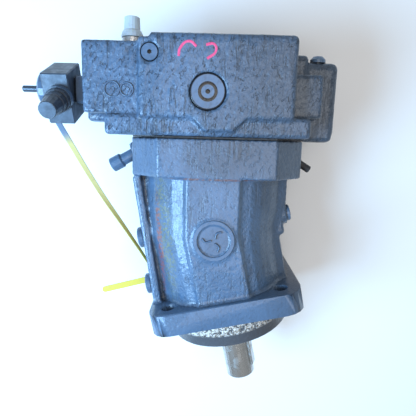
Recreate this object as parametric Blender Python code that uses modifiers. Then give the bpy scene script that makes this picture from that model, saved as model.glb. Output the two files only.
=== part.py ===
"""Bent-axis variable displacement piston pump, lying on its back.

Frame: origin on the shaft axis at the mounting face, +Y along the shaft towards the port plate,
+Z out of the raised front panel, +X to the right. The port plate is bent 12.5 degrees about the
pivot, so its own frame has local Y along the plate's normal and local X across it.
"""

import math

import bmesh
import bpy
from mathutils import Matrix, Vector

# Driving dimensions, in metres
GAP = 0.0003
BEND = math.radians(12.5)
PIVOT_Y = 0.108
FLANGE_SIDE = 0.190
FLANGE_THICK = 0.026
BOLT_SPACING = 0.1414
BOLT_HOLE_R = 0.00875
PILOT_R = 0.080
PILOT_LENGTH = 0.035
SHAFT_END = -0.121
SHAFT_R = 0.020
SEAL_R = 0.034
FRONT_BEARING_R = 0.050
REAR_BEARING_R = 0.065
PISTONS = 7
SOCKET_PITCH = 0.038
BORE_PITCH = 0.0362
BALL_R = 0.0105
SOCKET_R = 0.0129
PISTON_R = 0.0120
BORE_R = 0.0127
BARREL_R = 0.0545
BARREL_START = 0.038
BARREL_END = 0.107
LENS_SPHERE_R = 0.150
LENS_R = 0.046
TRACK_R = 0.132
TRACK_HALF_Z = 0.056
PLATE_START = 0.1155
GASKET = 0.0024
STROKE_U = 0.163
STROKE_BIG_R = 0.0172
STROKE_SMALL_R = 0.0112
PIN_BALL_U = 0.127
REST_V = -0.0282
VALVE_TILT = math.radians(23.8)
VALVE_CENTRE = Vector((-0.182, 0.163, 0.040))
TURN_STEPS = 20
SWING_SIDES = 24
RACE_STEPS = 28
CAGE_STEPS = 20

PIVOT = Vector((0, PIVOT_Y, 0))
TO_Y = Matrix.Rotation(math.radians(-90), 4, "X")
TO_X = Matrix.Rotation(math.radians(90), 4, "Y")

for old in list(bpy.data.objects):
    bpy.data.objects.remove(old)
PUMP = bpy.data.collections.new("axial_piston_pump")
CUTTERS = bpy.data.collections.new("cutters")
for collection in (PUMP, CUTTERS):
    bpy.context.scene.collection.children.link(collection)


def material(name, colour, roughness, metallic):
    """Return a Principled material."""
    made = bpy.data.materials.new(name)
    made.use_nodes = True
    shader = made.node_tree.nodes["Principled BSDF"]
    shader.inputs["Base Color"].default_value = (*colour, 1)
    shader.inputs["Roughness"].default_value = roughness
    shader.inputs["Metallic"].default_value = metallic
    made.diffuse_color = (*colour, 1)
    return made


PAINT = material("blue_paint", (0.16, 0.24, 0.36), 0.4, 0.0)
STEEL = material("bright_steel", (0.62, 0.61, 0.58), 0.28, 1.0)
DARK_STEEL = material("dark_steel", (0.10, 0.11, 0.12), 0.4, 0.6)
SLATE = material("slate_steel", (0.10, 0.13, 0.18), 0.35, 0.3)
BRONZE = material("bronze", (0.65, 0.42, 0.18), 0.35, 1.0)
BLACK_RUBBER = material("black_rubber", (0.02, 0.02, 0.02), 0.6, 0.0)
WHITE_PLASTIC = material("white_plastic", (0.85, 0.87, 0.88), 0.4, 0.0)
YELLOW_PLASTIC = material("yellow_plastic", (0.85, 0.75, 0.18), 0.45, 0.0)


def empty(name, location, turn_z=0.0):
    """Return an empty that a body's pieces are parented to."""
    made = bpy.data.objects.new(name, None)
    made.location = location
    made.rotation_euler.z = turn_z
    PUMP.objects.link(made)
    return made


PLATE_FRAME = empty("plate_frame", PIVOT, -BEND)
SWIVEL_FRAME = empty("swivel_frame", PIVOT)


def finish(name, mesh, look, parent=None, place=None):
    """Link a mesh as a part, or as a cutter where it has no material."""
    made = bpy.data.objects.new(name, mesh)
    made.parent = parent
    if place is not None:
        made.matrix_local = place
    if look is None:
        CUTTERS.objects.link(made)
        made.hide_render = True
        made.display_type = "WIRE"
        return made
    mesh.materials.append(look)
    mesh.shade_smooth()
    mesh.set_sharp_from_angle(angle=math.radians(30))
    PUMP.objects.link(made)
    return made


def mesh_from(name, bm):
    """Turn a bmesh into a mesh."""
    bmesh.ops.recalc_face_normals(bm, faces=bm.faces)
    mesh = bpy.data.meshes.new(name)
    bm.to_mesh(mesh)
    bm.free()
    return mesh


def block(name, low, high, look=None, parent=None, place=None, rounding=0.0, along=None, steps=2):
    """A box between two corners; its edges, or only those along one axis, may be rounded."""
    low, high = Vector(low), Vector(high)
    bm = bmesh.new()
    size = high - low
    middle = Matrix.Translation((low + high) / 2)
    bmesh.ops.create_cube(bm, matrix=middle @ Matrix.Diagonal((*size, 1)))
    if rounding:
        edges = bm.edges
        if along is not None:
            axis = "XYZ".index(along)
            edges = [e for e in edges if abs((e.verts[0].co - e.verts[1].co)[axis]) > size[axis] / 2]
        bmesh.ops.bevel(bm, geom=list(edges), offset=rounding, segments=steps, profile=0.5, affect="EDGES")
    return finish(name, mesh_from(name, bm), look, parent, place)


def add_rod(bm, start, end, radius, end_radius=None, sides=TURN_STEPS):
    """A closed cylinder or cone between two points."""
    start, end = Vector(start), Vector(end)
    along = end - start
    turn = along.to_track_quat("Z", "Y").to_matrix().to_4x4()
    far = radius if end_radius is None else end_radius
    place = Matrix.Translation((start + end) / 2) @ turn
    bmesh.ops.create_cone(bm, cap_ends=True, segments=sides, radius1=radius, radius2=far,
                          depth=along.length, matrix=place)


def rod(name, start, end, radius, look=None, parent=None, end_radius=None, sides=TURN_STEPS):
    """A cylinder or cone as an object."""
    bm = bmesh.new()
    add_rod(bm, start, end, radius, end_radius, sides)
    return finish(name, mesh_from(name, bm), look, parent)


def turned(name, profile, look=None, parent=None, place=TO_Y, ring=False, steps=TURN_STEPS):
    """Turn (radius, height) points, listed from top to bottom of the outside, about local Z."""
    bm = bmesh.new()
    points = [bm.verts.new((radius, 0, height)) for radius, height in profile]
    last = len(points) if ring else len(points) - 1
    for index in range(last):
        bm.edges.new((points[index], points[(index + 1) % len(points)]))
    mesh = bpy.data.meshes.new(name)
    bm.to_mesh(mesh)
    bm.free()
    made = finish(name, mesh, look, parent, place)
    screw = made.modifiers.new("Turn", "SCREW")
    screw.steps = steps
    screw.render_steps = steps
    screw.use_merge_vertices = True
    screw.merge_threshold = 0.00001
    screw.use_normal_calculate = False
    return made


def combine(target, tools, operation="DIFFERENCE"):
    """Cut all tools from a part in one step, or join them to it."""
    group = bpy.data.collections.new(f"{target.name}_{operation.lower()}")
    CUTTERS.children.link(group)
    for tool in tools:
        CUTTERS.objects.unlink(tool)
        group.objects.link(tool)
    cut = target.modifiers.new(operation.title(), "BOOLEAN")
    cut.operation = operation
    cut.solver = "EXACT"
    cut.operand_type = "COLLECTION"
    cut.collection = group
    return target


# Housing

PANEL_HALF = 0.031
BODY_TOP = 0.084
COLLAR_LOW = Vector((-0.099, 0.068, -0.085))
COLLAR_HIGH = Vector((0.106, PLATE_START - GASKET, 0.085))
COLLAR_CHAMFER = 0.035
SCREW_V = 0.064
SCREW_Z = 0.072
SCREW_R = 0.0047
LEFT_PLUG_YS = (0.112, 0.048)
LEFT_PLUG_XS = (-0.0807, -0.0844)
LEFT_PLUG_Z = 0.030
RIGHT_PLUG_Y = 0.108
STUB_LEFT = (Vector((-0.088, 0.099, 0.030)), Vector((-0.876, -0.483, 0)))
STUB_RIGHT = (Vector((0.092, 0.095, 0.036)), Vector((0.853, -0.522, 0)))


def body_ring(half_width):
    """The body's outline across its axis: raised panels front and back, rounded shoulders, flat flanks."""
    shoulder = half_width - PANEL_HALF
    front = [
        (PANEL_HALF, BODY_TOP),
        (PANEL_HALF + 0.002, BODY_TOP - 0.005),
        (PANEL_HALF + 0.25 * shoulder, BODY_TOP - 0.009),
        (PANEL_HALF + 0.45 * shoulder, BODY_TOP - 0.017),
        (PANEL_HALF + 0.65 * shoulder, BODY_TOP - 0.029),
        (PANEL_HALF + 0.80 * shoulder, BODY_TOP - 0.040),
        (PANEL_HALF + 0.90 * shoulder, BODY_TOP - 0.043),
        (half_width, BODY_TOP - 0.046),
    ]
    right = front + [(x, -z) for x, z in reversed(front)]
    return right + [(-x, z) for x, z in reversed(right)]


def loft(name, sections):
    """Skin equal rings; each section is its centre, its across direction and its points."""
    bm = bmesh.new()
    rings = []
    for centre, across, ring in sections:
        rings.append([bm.verts.new(centre + across * x + Vector((0, 0, z))) for x, z in ring])
    count = len(rings[0])
    for near, far in zip(rings, rings[1:]):
        for index in range(count):
            after = (index + 1) % count
            bm.faces.new((near[index], near[after], far[after], far[index]))
    bm.faces.new(rings[0])
    bm.faces.new(rings[-1])
    bmesh.ops.triangulate(bm, faces=bm.faces)
    return finish(name, mesh_from(name, bm), None)


def plate_point(v, u, z):
    """A world point from the port plate's own coordinates."""
    return PIVOT + Matrix.Rotation(-BEND, 3, "Z") @ Vector((v, u, z))


def make_body():
    """The waisted body, bent at the pivot."""
    half_bend = Matrix.Rotation(-BEND / 2, 3, "Z") @ Vector((1, 0, 0))
    full_bend = Matrix.Rotation(-BEND, 3, "Z") @ Vector((1, 0, 0))
    straight = Vector((1, 0, 0))
    sections = [
        (Vector((0, 0.020, 0)), straight, body_ring(0.083)),
        (Vector((0, 0.080, 0)), straight, body_ring(0.084)),
        (PIVOT, half_bend, body_ring(0.089)),
        (plate_point(0, 0.030, 0), full_bend, body_ring(0.093)),
        (plate_point(0, 0.072, 0), full_bend, body_ring(0.093)),
    ]
    return loft("body_loft", sections)


def swing_space():
    """The room that the barrel sweeps between its two end positions."""
    bm = bmesh.new()
    for turn in (0.0, -2 * BEND):
        aim = Matrix.Rotation(turn, 3, "Z") @ Vector((0, 1, 0))
        add_rod(bm, PIVOT - aim * 0.0123, PIVOT + aim * 0.1350, BARREL_R + 0.0022, sides=SWING_SIDES)
    hull = bmesh.new()
    for vert in bm.verts:
        hull.verts.new(vert.co)
    bm.free()
    made = bmesh.ops.convex_hull(hull, input=hull.verts)
    bmesh.ops.delete(hull, geom=made["geom_interior"], context="VERTS")
    return finish("swing_space", mesh_from("swing_space", hull), None)


def stub_rod(name, start, aim, near, far, radius, sides=24):
    """A rod along a stub's axis, between two distances from its root on the collar."""
    aim = aim.normalized()
    return rod(name, start + aim * near, start + aim * far, radius, None, PLATE_FRAME, sides=sides)


def make_housing():
    """Flange, pilot, body and collar in one casting, bored for shaft, bearings and barrel."""
    half = FLANGE_SIDE / 2
    housing = block("housing", (-half, 0, -half), (half, FLANGE_THICK, half), PAINT,
                    rounding=0.024, along="Y", steps=4)
    collar = block("collar", COLLAR_LOW, COLLAR_HIGH, None, PLATE_FRAME,
                   rounding=COLLAR_CHAMFER, along="Y", steps=1)
    pilot = turned("pilot", [(0, 0.010), (PILOT_R, 0.010), (PILOT_R, -PILOT_LENGTH + 0.003),
                             (PILOT_R - 0.003, -PILOT_LENGTH), (0, -PILOT_LENGTH)], steps=44)
    rib_turn = Matrix.Translation((-0.0835, 0.108, 0)) @ Matrix.Rotation(math.radians(-3.3), 4, "Z")
    rib = block("rib", (-0.0045, -0.082, -0.040), (0.0060, 0.085, 0.050), place=rib_turn,
                rounding=0.0015, steps=1)
    right_boss = rod("right_boss", (0.060, RIGHT_PLUG_Y, 0.026), (0.0975, RIGHT_PLUG_Y, 0.026), 0.0135)
    right_lug = block("right_lug", (0.060, 0.083, 0.012), (0.0915, 0.108, 0.040), rounding=0.003, steps=1)
    medallion = turned("medallion", [(0, 0.0856), (0.0255, 0.0856), (0.0268, 0.080), (0, 0.080)],
                       place=Matrix.Translation((0.0018, 0.1035, 0)), steps=28)
    medal_cut = turned("medal_cut", [(0, 0.090), (0.0190, 0.090), (0.0190, 0.0836), (0, 0.0836)],
                       place=Matrix.Translation((0.0018, 0.1035, 0)), steps=28)
    stub_boss = stub_rod("stub_boss", *STUB_LEFT, 0.0, 0.0135, 0.0140)
    combine(housing, [make_body(), collar, pilot, rib, right_boss, right_lug, medallion, stub_boss], "UNION")

    shaft_bore = turned("shaft_bore", [
        (0, 0.1185), (REAR_BEARING_R + GAP, 0.1185), (REAR_BEARING_R + GAP, 0.046),
        (FRONT_BEARING_R + GAP, 0.046), (FRONT_BEARING_R + GAP, 0.002), (0.0275, 0.002),
        (0.0275, -0.012), (SEAL_R + GAP, -0.012), (SEAL_R + GAP, -0.0262), (0.0370, -0.0262),
        (0.0370, -0.0287), (SEAL_R + GAP, -0.0287), (SEAL_R + GAP, -0.040), (0, -0.040)], steps=RACE_STEPS)
    holes = []
    for x in (-BOLT_SPACING / 2, BOLT_SPACING / 2):
        for z in (-BOLT_SPACING / 2, BOLT_SPACING / 2):
            holes.append(rod("bolt_hole", (x, -0.01, z), (x, 0.040, z), BOLT_HOLE_R, sides=16))
    for v in (-SCREW_V, SCREW_V):
        for z in (-SCREW_Z, SCREW_Z):
            holes.append(rod("screw_hole", (v, 0.085, z), (v, 0.130, z), SCREW_R + GAP,
                             None, PLATE_FRAME, sides=12))
    for x, y in zip(LEFT_PLUG_XS, LEFT_PLUG_YS):
        holes.append(rod("left_plug_hole", (-0.110, y, LEFT_PLUG_Z), (x + GAP, y, LEFT_PLUG_Z), 0.0103, sides=16))
    holes.append(rod("right_plug_hole", (0.110, RIGHT_PLUG_Y, 0.026), (0.0860, RIGHT_PLUG_Y, 0.026), 0.0083,
                     sides=20))
    holes.append(stub_rod("left_stub_hole", *STUB_LEFT, 0.002, 0.040, 0.0077))
    holes.append(stub_rod("right_stub_hole", *STUB_RIGHT, 0.0, 0.040, 0.0048))
    return combine(housing, [shaft_bore, swing_space(), medal_cut, *holes])


make_housing()

# Port plate: everything in its own frame is (across, out, up)

MAIN_LOW, MAIN_HIGH = (-0.084, 0.134, -0.095), (0.0865, 0.2225, 0.095)
BASE_LOW, BASE_HIGH = (-0.122, PLATE_START, -0.090), (0.106, 0.138, 0.090)
LEFT_LOW, LEFT_HIGH = (-0.1463, 0.1385, -0.060), (-0.080, 0.2150, 0.086)
STEP_LOW, STEP_HIGH = (0.080, 0.139, -0.040), (0.121, 0.187, 0.070)
PORT_LOW, PORT_HIGH = (0.070, 0.1165, -0.092), (0.150, 0.2085, 0.026)
SUCTION_U, SUCTION_Z, SUCTION_R = 0.163, -0.042, 0.022
PRESSURE_Z, PRESSURE_R = 0.045, 0.016
BIG_PLUG = Vector((-0.0085, 0.163, 0.095))
SMALL_PLUG = Vector((-0.071, 0.202, 0.095))
FITTING = Vector((-0.0965, 0.2150, 0.055))
VENT = Vector((0.126, 0.2018, 0.014))
STROKE_LEFT = -0.140


def make_port_plate():
    """The port plate casting with its curved track, stroking bore, passages and ports."""
    plate = block("port_plate", MAIN_LOW, MAIN_HIGH, PAINT, PLATE_FRAME, rounding=0.005, steps=2)
    tools = [
        block("base", BASE_LOW, BASE_HIGH, None, PLATE_FRAME, rounding=0.004, steps=2),
        block("left", LEFT_LOW, LEFT_HIGH, None, PLATE_FRAME, rounding=0.003, steps=2),
        block("step", STEP_LOW, STEP_HIGH, None, PLATE_FRAME, rounding=0.003, steps=2),
        block("port", PORT_LOW, PORT_HIGH, None, PLATE_FRAME, rounding=0.008, steps=3),
        block("port_lip", (0.1085, 0.1120, -0.020), (PORT_HIGH[0] - 0.001, 0.1400, 0.0255), None, PLATE_FRAME,
              rounding=0.007, steps=3),
        block("boss", (0.080, 0.185, -0.010), (0.112, 0.2160, 0.030), None, PLATE_FRAME, rounding=0.005, steps=2),
        block("lug", (-0.150, 0.130, 0.020), (-0.110, 0.150, 0.058), None, PLATE_FRAME, rounding=0.003, steps=1),
    ]
    bm = bmesh.new()
    foot = [bm.verts.new(spot) for spot in ((-0.031, 0.141, 0), (-0.012, 0.1215, 0), (0.020, 0.1215, 0),
                                            (0.039, 0.141, 0))]
    base = bm.faces.new(foot)
    raised = bmesh.ops.extrude_face_region(bm, geom=[base])
    moved = [item for item in raised["geom"] if isinstance(item, bmesh.types.BMVert)]
    bmesh.ops.translate(bm, verts=moved, vec=(0, 0, 0.0950))
    tools.append(finish("foot_pad", mesh_from("foot_pad", bm), None, PLATE_FRAME))
    combine(plate, tools, "UNION")

    cuts = [
        rod("track", (0, 0, -TRACK_HALF_Z), (0, 0, TRACK_HALF_Z), TRACK_R, None, PLATE_FRAME, sides=96),
        rod("stroke_big", (STROKE_LEFT - 0.02, STROKE_U, 0), (0.048, STROKE_U, 0), STROKE_BIG_R, None, PLATE_FRAME),
        rod("stroke_small", (0.040, STROKE_U, 0), (0.160, STROKE_U, 0), STROKE_SMALL_R, None,
            PLATE_FRAME, sides=24),
        block("pin_slot", (-0.038, 0.110, -0.009), (0.038, STROKE_U, 0.009), None, PLATE_FRAME),
        block("suction_slot", (-0.030, 0.110, -0.046), (0.030, 0.155, -0.030), None, PLATE_FRAME),
        block("pressure_slot", (-0.030, 0.110, 0.030), (0.022, 0.150, 0.046), None, PLATE_FRAME),
        rod("suction_bore", (-0.026, SUCTION_U, SUCTION_Z), (0.170, SUCTION_U, SUCTION_Z), SUCTION_R, None,
            PLATE_FRAME),
        rod("pressure_bore", (0.012, 0.134, PRESSURE_Z + 0.003), (0.012, 0.240, PRESSURE_Z + 0.003), PRESSURE_R,
            None, PLATE_FRAME),
        rod("big_plug_hole", BIG_PLUG - Vector((0, 0, 0.016)), BIG_PLUG + Vector((0, 0, 0.02)), 0.0198, None,
            PLATE_FRAME, sides=40),
        rod("small_plug_hole", SMALL_PLUG - Vector((0, 0, 0.014)), SMALL_PLUG + Vector((0, 0, 0.02)), 0.0096, None,
            PLATE_FRAME, sides=28),
        block("top_step", (-0.100, 0.2172, -0.100), (-0.0705, 0.230, 0.100), None, PLATE_FRAME),
        rod("fitting_hole", FITTING - Vector((0, 0.014, 0)), FITTING + Vector((0, 0.02, 0)), 0.0075, None,
            PLATE_FRAME, sides=20),
        rod("vent_hole", (VENT.x, VENT.y, VENT.z), (VENT.x, 0.230, VENT.z), 0.0055, None, PLATE_FRAME, sides=16),
    ]
    for v in (-SCREW_V, SCREW_V):
        for z in (-SCREW_Z, SCREW_Z):
            cuts.append(rod("plate_hole", (v, 0.100, z), (v, 0.240, z), SCREW_R + 0.0006, None, PLATE_FRAME,
                            sides=16))
            cuts.append(rod("plate_counterbore", (v, 0.2060, z), (v, 0.240, z), 0.0085, None, PLATE_FRAME,
                            sides=20))
    return combine(plate, cuts)


make_port_plate()

# Shaft, bearings and seal

FLANGE_TOP = PIVOT_Y + 0.0032
PLATE_TOP = PIVOT_Y + 0.0073
KEY_TURN = Matrix.Rotation(math.radians(-20), 4, "Y")
KEY_START, KEY_END = -0.106, -0.044


def around(count, radius, start=0.0):
    """Points evenly spaced round the shaft axis, as (x, z)."""
    spots = []
    for index in range(count):
        angle = start + 2 * math.pi * index / count
        spots.append((radius * math.cos(angle), radius * math.sin(angle)))
    return spots


def make_shaft():
    """Drive shaft with its socketed flange and keyway, the key, and the ball retaining plate."""
    shaft = turned("drive_shaft", [
        (0, FLANGE_TOP), (0.0540, FLANGE_TOP), (0.0540, 0.0860), (0.0430, 0.0840), (0.0430, 0.0803),
        (0.0372, 0.0803), (0.0372, 0.0440), (0.0320, 0.0440), (0.0320, 0.0330), (0.0297, 0.0330),
        (0.0297, 0.0024), (0.0250, 0.0024), (0.0250, -0.0325), (SHAFT_R, -0.0325),
        (SHAFT_R, SHAFT_END + 0.002), (SHAFT_R - 0.002, SHAFT_END), (0, SHAFT_END)], STEEL, steps=RACE_STEPS)
    cuts = [rod("centre_socket", (0, PIVOT_Y - 0.0095, 0), (0, PIVOT_Y + 0.02, 0), 0.0090, sides=20)]
    for x, z in around(PISTONS, SOCKET_PITCH):
        cuts.append(rod("socket", (x, PIVOT_Y - 0.0115, z), (x, PIVOT_Y + 0.02, z), SOCKET_R, sides=12))
    cuts.append(block("keyway", (0.0150, KEY_START - GAP, -0.0063), (0.03, KEY_END + GAP, 0.0063), place=KEY_TURN))
    combine(shaft, cuts)
    block("shaft_key", (0.0153, KEY_START, -0.0060), (0.0230, KEY_END, 0.0060), STEEL, place=KEY_TURN,
          rounding=0.0006, steps=1)

    retainer = rod("retaining_plate", (0, FLANGE_TOP + GAP, 0), (0, PLATE_TOP, 0), 0.0515, BRONZE, sides=32)
    openings = [rod("centre_hole", (0, PIVOT_Y - 0.02, 0), (0, PIVOT_Y + 0.02, 0), 0.0105, sides=20)]
    for x, z in around(PISTONS, SOCKET_PITCH):
        openings.append(rod("neck_hole", (x, PIVOT_Y - 0.02, z), (x, PIVOT_Y + 0.02, z), SOCKET_R - 0.0002,
                            sides=12))
    combine(retainer, openings)


def make_bearing(name, low, high, bore_r, outer_r, rollers):
    """Tapered roller bearing: cup, cone and roller set; its wide end is at the high side."""
    span = outer_r - bore_r
    cone_low, cone_high = bore_r + 0.30 * span, bore_r + 0.44 * span
    cup_low, cup_high = cone_low + 0.36 * span, cone_high + 0.36 * span
    turned(name + "_cup", [(cup_high, high), (outer_r, high), (outer_r, low), (cup_low, low)], STEEL,
           ring=True, steps=RACE_STEPS)
    turned(name + "_cone", [(bore_r, high), (cone_high, high), (cone_low, low), (bore_r, low)], STEEL,
           ring=True, steps=RACE_STEPS)
    bm = bmesh.new()
    half = 0.36 * span / 2
    near, far = low + 0.0035, high - 0.0035
    low_r, high_r = (cone_low + cup_low) / 2 + 0.0003, (cone_high + cup_high) / 2 - 0.0003
    for (x, z) in around(rollers, 1.0):
        add_rod(bm, (x * low_r, near, z * low_r), (x * high_r, far, z * high_r), half - 0.0011,
                half - 0.0008, sides=6)
    rollers_made = finish(name + "_rollers", mesh_from(name + "_rollers", bm), STEEL)
    cage = []
    for end, radius in ((near, low_r), (far, high_r)):
        cage.append(turned(name + "_cage", [(radius - 0.0015, end + 0.0011), (radius + 0.0015, end + 0.0011),
                                            (radius + 0.0015, end - 0.0011), (radius - 0.0015, end - 0.0011)],
                           ring=True, steps=CAGE_STEPS))
    combine(rollers_made, cage, "UNION")


def make_seal():
    """Shaft seal and the ring that keeps it in."""
    turned("shaft_seal", [(0.0256, -0.0135), (SEAL_R, -0.0135), (SEAL_R, -0.0255), (0.0290, -0.0255),
                          (0.0256, -0.0215)], BLACK_RUBBER, ring=True, steps=RACE_STEPS)
    turned("seal_retaining_ring", [(0.0305, -0.0265), (0.0367, -0.0265), (0.0367, -0.0284), (0.0305, -0.0284)],
           DARK_STEEL, ring=True, steps=RACE_STEPS)


make_shaft()
make_bearing("rear_bearing", 0.0466, 0.0795, 0.0376, REAR_BEARING_R, 10)
make_bearing("front_bearing", 0.0025, 0.0275, 0.0300, FRONT_BEARING_R, 10)
make_seal()


# Barrel, pistons and control lens


def swivel_turned(name, profile, look, spot=(0, 0), steps=TURN_STEPS):
    """A turned piece along +Y from the pivot, offset across by (x, z)."""
    place = Matrix.Translation((spot[0], 0, spot[1])) @ TO_Y
    return turned(name, profile, look, SWIVEL_FRAME, place, steps=steps)


def sphere_out(radius):
    """How far the lens face has dropped towards the port plate at this radius."""
    return LENS_SPHERE_R - math.sqrt(LENS_SPHERE_R ** 2 - radius ** 2)


def make_barrel():
    """Cylinder barrel with its bores, kidney passages, centre pin and spring."""
    face = [(radius, BARREL_END + sphere_out(radius)) for radius in (0, 0.010, 0.020, 0.030, 0.040, 0.047)]
    barrel = swivel_turned("cylinder_barrel", face + [
        (0.0500, BARREL_END + 0.0050), (BARREL_R, BARREL_END - 0.0050), (BARREL_R, BARREL_START + 0.001),
        (BARREL_R - 0.001, BARREL_START), (0, BARREL_START)], STEEL, steps=32)
    cuts = [
        rod("centre_bore", (0, 0.02, 0), (0, 0.093, 0), 0.0100, None, SWIVEL_FRAME, sides=20),
        rod("centre_oil_hole", (0, 0.085, 0), (0, 0.130, 0), 0.0030, None, SWIVEL_FRAME, sides=12),
    ]
    for x, z in around(PISTONS, BORE_PITCH):
        cuts.append(rod("bore", (x, 0.02, z), (x, 0.095, z), BORE_R, None, SWIVEL_FRAME, sides=12))
        cuts.append(rod("kidney_hole", (x, 0.090, z), (x, 0.130, z), 0.0060, None, SWIVEL_FRAME, sides=8))
    combine(barrel, cuts)
    ball = [(0.0080 * math.sin(math.radians(a)), 0.0080 * math.cos(math.radians(a))) for a in range(40, 161, 20)]
    swivel_turned("centre_pin", [(0, 0.0700), (0.0090, 0.0700), (0.0096, 0.0690), (0.0096, 0.0400),
                                 (0.0050, 0.0340)] + ball + [(0, -0.0080)], STEEL, steps=20)


def make_spring(name, base, height, radius, wire, turns, look, parent, axis):
    """A compression spring as a wire along a helix with closed ends."""
    curve = bpy.data.curves.new(name, "CURVE")
    curve.dimensions = "3D"
    curve.bevel_depth = wire
    curve.bevel_resolution = 0
    curve.use_fill_caps = True
    spline = curve.splines.new("POLY")
    per_turn = 8
    count = per_turn * turns
    spline.points.add(count)
    for index in range(count + 1):
        angle = 2 * math.pi * index / per_turn
        share = min(max((index / per_turn - 0.5) / (turns - 1), 0.0), 1.0)
        rise = wire + index / count * 2.2 * wire + share * (height - 4.2 * wire)
        across = Vector((radius * math.cos(angle), rise, radius * math.sin(angle)))
        spot = base + axis @ across
        spline.points[index].co = (*spot, 1)
    made = bpy.data.objects.new(name, curve)
    made.data.materials.append(look)
    made.parent = parent
    PUMP.objects.link(made)
    return made


def make_pistons():
    """Pistons with ball heads, tapered stems and two rings each."""
    ball = []
    for degrees in range(32, 165, 21):
        angle = math.radians(degrees)
        ball.append((BALL_R * math.sin(angle), BALL_R * math.cos(angle)))
    groove = PISTON_R - 0.0008
    body = [(0, 0.0500), (0.0060, 0.0530), (0.0060, 0.0740), (PISTON_R - 0.0006, 0.0740), (PISTON_R, 0.0732),
            (PISTON_R, 0.0700), (groove, 0.0696), (groove, 0.0684), (PISTON_R, 0.0680), (PISTON_R, 0.0560),
            (0.0058, 0.0130)]
    for index, (x, z) in enumerate(around(PISTONS, BORE_PITCH)):
        swivel_turned(f"piston_{index + 1}", body + ball + [(0, -BALL_R)], STEEL, (x, z), steps=9)


def make_lens():
    """Lens-shaped control plate: a domed face to the barrel and a cylindrical back in the track."""
    face = [(radius, BARREL_END + GAP + sphere_out(radius)) for radius in (LENS_R, 0.040, 0.030, 0.020, 0.010, 0)]
    lens = swivel_turned("control_lens", [(0, TRACK_R + 0.01), (LENS_R, TRACK_R + 0.01)] + face, BRONZE, steps=36)
    back = rod("lens_back", (0, 0, -0.08), (0, 0, 0.08), TRACK_R - 0.0006, None, SWIVEL_FRAME, sides=96)
    combine(lens, [back], "INTERSECT")
    cuts = [rod("pin_pocket", (0, 0.1165, 0), (0, 0.15, 0), 0.0080, None, SWIVEL_FRAME, sides=20)]
    for z in (-0.037, 0.037):
        cuts.append(block("kidney", (-0.013, 0.09, z - 0.0045), (0.013, 0.15, z + 0.0045), None, SWIVEL_FRAME))
    return combine(lens, cuts)


make_barrel()
make_spring("centre_spring", Vector((0, 0.0703, 0)), 0.0223, 0.0072, 0.0013, 6, STEEL, SWIVEL_FRAME,
            Matrix.Identity(3))
make_pistons()
make_lens()

# Stroking piston and small pieces on the port plate


def plate_turned(name, profile, look, base, turn, steps=TURN_STEPS):
    """A turned piece in the port plate's frame; its local Z is turned to its own axis."""
    place = Matrix.Translation(base) @ turn
    return turned(name, profile, look, PLATE_FRAME, place, steps=steps)


def make_stroking_piston():
    """Stroking piston along the plate, with the ball-ended pin that drags the lens."""
    big, small = STROKE_BIG_R - 0.0006, STROKE_SMALL_R - 0.0005
    middle = Vector((REST_V, STROKE_U, 0))
    piston = plate_turned("stroking_piston", [
        (0, 0.0860), (small, 0.0860), (small, 0.0680), (0.0085, 0.0660), (0.0085, -0.0640), (big, -0.0660),
        (big, -0.0740), (big - 0.001, -0.0744), (big - 0.001, -0.0760), (big, -0.0764), (big, -0.0860),
        (0, -0.0860)], STEEL, middle, TO_X, steps=18)
    combine(piston, [rod("pin_seat", (REST_V, 0.150, 0), (REST_V, 0.1604, 0), 0.0054, None, PLATE_FRAME, sides=16)])
    ball = []
    for degrees in range(35, 170, 29):
        angle = math.radians(degrees)
        ball.append((0.0070 * math.sin(angle), 0.0070 * math.cos(angle)))
    plate_turned("positioning_pin", [(0, 0.0330), (0.0050, 0.0330), (0.0050, 0.0270), (0.0040, 0.0120)] + ball
                 + [(0, -0.0070)], STEEL, Vector((REST_V, PIN_BALL_U, 0)), TO_Y, steps=12)


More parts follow.
